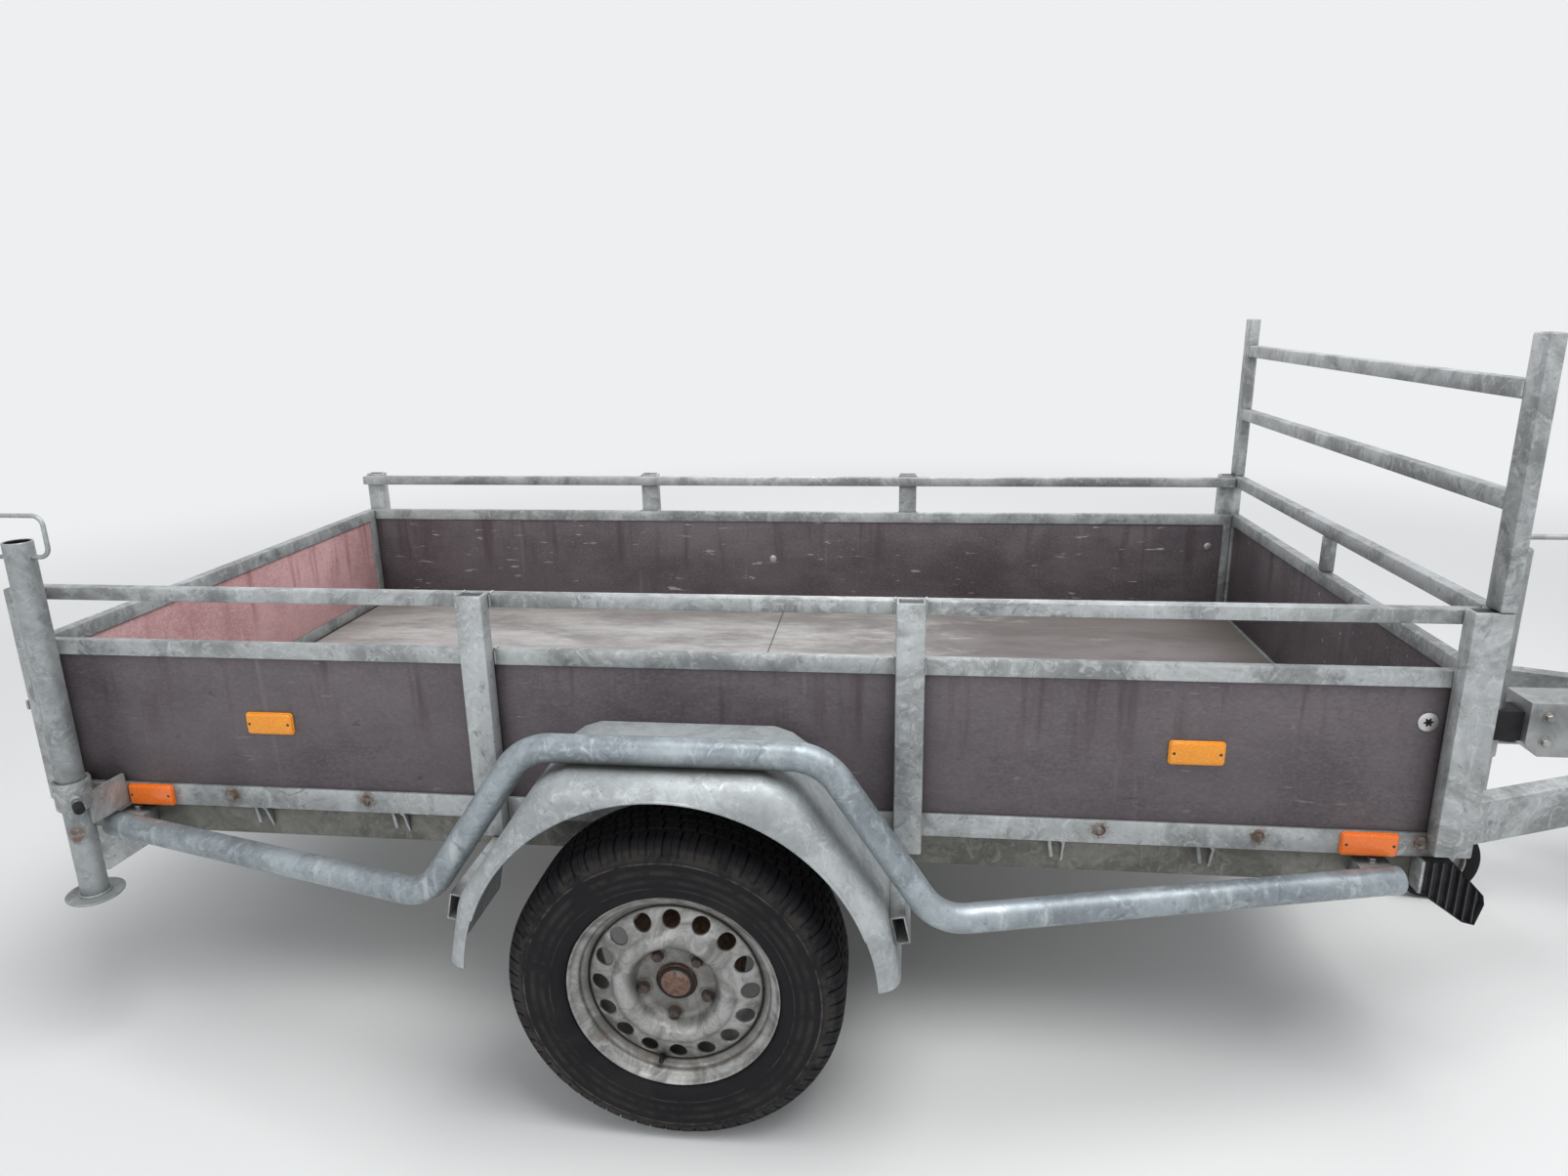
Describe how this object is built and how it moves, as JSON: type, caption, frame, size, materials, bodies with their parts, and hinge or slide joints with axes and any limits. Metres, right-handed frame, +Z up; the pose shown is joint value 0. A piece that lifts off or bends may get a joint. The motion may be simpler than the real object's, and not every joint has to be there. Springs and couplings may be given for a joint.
{
  "type": "utility trailer",
  "caption": "Single-axle box trailer with drop-down tailgate, tube-guarded mudguards, headboard frame, V drawbar with overrun coupling, jockey wheel and rear prop stands.",
  "frame": {"origin": "on the ground, below the middle of the trailer's bounding box", "axes": "+X forwards to the coupling, +Y to the trailer's left, +Z up"},
  "size_m": [3.987, 1.86, 1.332],
  "materials": {
    "galvanised_steel": "hot-dip galvanised, dull and mottled",
    "zinc_plated_steel": "zinc plated",
    "faced_plywood": "film-faced, weathered grey-brown",
    "red_plywood": "film-faced, weathered red-brown",
    "floor_plywood": "weathered grey-beige",
    "wheel_paint": "silver paint, rust stained",
    "bare_iron": "rusted",
    "tyre_rubber": "matte",
    "black_rubber": "matte",
    "black_plastic": "matte",
    "amber_plastic": "reflective",
    "lamp_plastic": "glossy lens"
  },
  "bodies": {
    "chassis": {"axle_tube": "galvanised_steel", "brake_rod": "zinc_plated_steel", "chock_holder": "galvanised_steel", "coupling_head": "zinc_plated_steel", "cross_members": "galvanised_steel", "draw_shaft": "zinc_plated_steel", "drawbar_frame": "galvanised_steel", "floor_sheet": "floor_plywood", "front_board": "faced_plywood", "front_frame": "galvanised_steel", "gate_hinges": "galvanised_steel", "guard_brackets": "galvanised_steel", "head_posts": "galvanised_steel", "head_rails": "galvanised_steel", "head_stub": "galvanised_steel", "jockey_clamp": "zinc_plated_steel", "jockey_crank": "zinc_plated_steel", "jockey_sleeve": "zinc_plated_steel", "lamp_bar": "galvanised_steel", "latch_keepers": "zinc_plated_steel", "mudguard_left": "galvanised_steel", "mudguard_right": "galvanised_steel", "overrun_housing": "zinc_plated_steel", "rear_lamps": "lamp_plastic", "rear_sill": "galvanised_steel", "rod_hangers": "zinc_plated_steel", "shaft_bellows": "black_rubber", "side_beams": "galvanised_steel", "side_boards": "faced_plywood", "side_posts": "galvanised_steel", "side_railings": "galvanised_steel", "side_rails": "galvanised_steel", "side_reflectors": "amber_plastic", "side_sills": "galvanised_steel", "sill_gussets": "galvanised_steel", "stand_clamps": "galvanised_steel", "swing_arms": "bare_iron", "tarp_pins": "galvanised_steel", "tube_guard_left": "galvanised_steel", "tube_guard_right": "galvanised_steel", "wheel_chock": "black_plastic"},
    "right_wheel": {"rim_right": "wheel_paint", "tyre_right": "tyre_rubber", "hub_right": "bare_iron"},
    "left_wheel": {"rim_left": "wheel_paint", "tyre_left": "tyre_rubber", "hub_left": "bare_iron"},
    "tailgate": {"gate_frame": "galvanised_steel", "gate_board": "red_plywood", "gate_latches": "zinc_plated_steel"},
    "right_stand": {"stand_right": "galvanised_steel"},
    "left_stand": {"stand_left": "galvanised_steel"},
    "jockey_column": {"jockey_tube": "zinc_plated_steel"},
    "jockey_caster": {"jockey_fork": "zinc_plated_steel"},
    "jockey_roller": {"jockey_rim": "zinc_plated_steel", "jockey_tyre": "black_rubber"},
    "handbrake": {"handbrake_lever": "zinc_plated_steel"}
  },
  "joints": [
    {"name": "right_wheel_axle", "type": "hinge", "parent": "chassis", "child": "right_wheel", "pos_m": [-0.6885, -0.822, 0.2875], "axis": [0, 1, 0], "continuous": true},
    {"name": "left_wheel_axle", "type": "hinge", "parent": "chassis", "child": "left_wheel", "pos_m": [-0.6885, 0.822, 0.2875], "axis": [0, 1, 0], "continuous": true},
    {"name": "tailgate_hinge", "type": "hinge", "parent": "chassis", "child": "tailgate", "pos_m": [-1.9845, 0, 0.496], "axis": [0, -1, 0], "range_deg": [0, 180]},
    {"name": "right_stand_slide", "type": "slide", "parent": "chassis", "child": "right_stand", "axis": [0, 0, 1], "range_m": [-0.31, 0.08]},
    {"name": "left_stand_slide", "type": "slide", "parent": "chassis", "child": "left_stand", "axis": [0, 0, 1], "range_m": [0, 0.39]},
    {"name": "jockey_lift", "type": "slide", "parent": "chassis", "child": "jockey_column", "axis": [0, 0, 1], "range_m": [0, 0.105]},
    {"name": "jockey_swivel", "type": "hinge", "parent": "jockey_column", "child": "jockey_caster", "pos_m": [1.0155, 0, 0.262], "axis": [0, 0, 1], "continuous": true},
    {"name": "jockey_wheel_axle", "type": "hinge", "parent": "jockey_caster", "child": "jockey_roller", "pos_m": [0.9455, 0, 0.1], "axis": [0, 1, 0], "continuous": true},
    {"name": "handbrake_pivot", "type": "hinge", "parent": "chassis", "child": "handbrake", "pos_m": [1.2335, 0.064, 0.494], "axis": [0, -1, 0], "range_deg": [0, 75]}
  ]
}
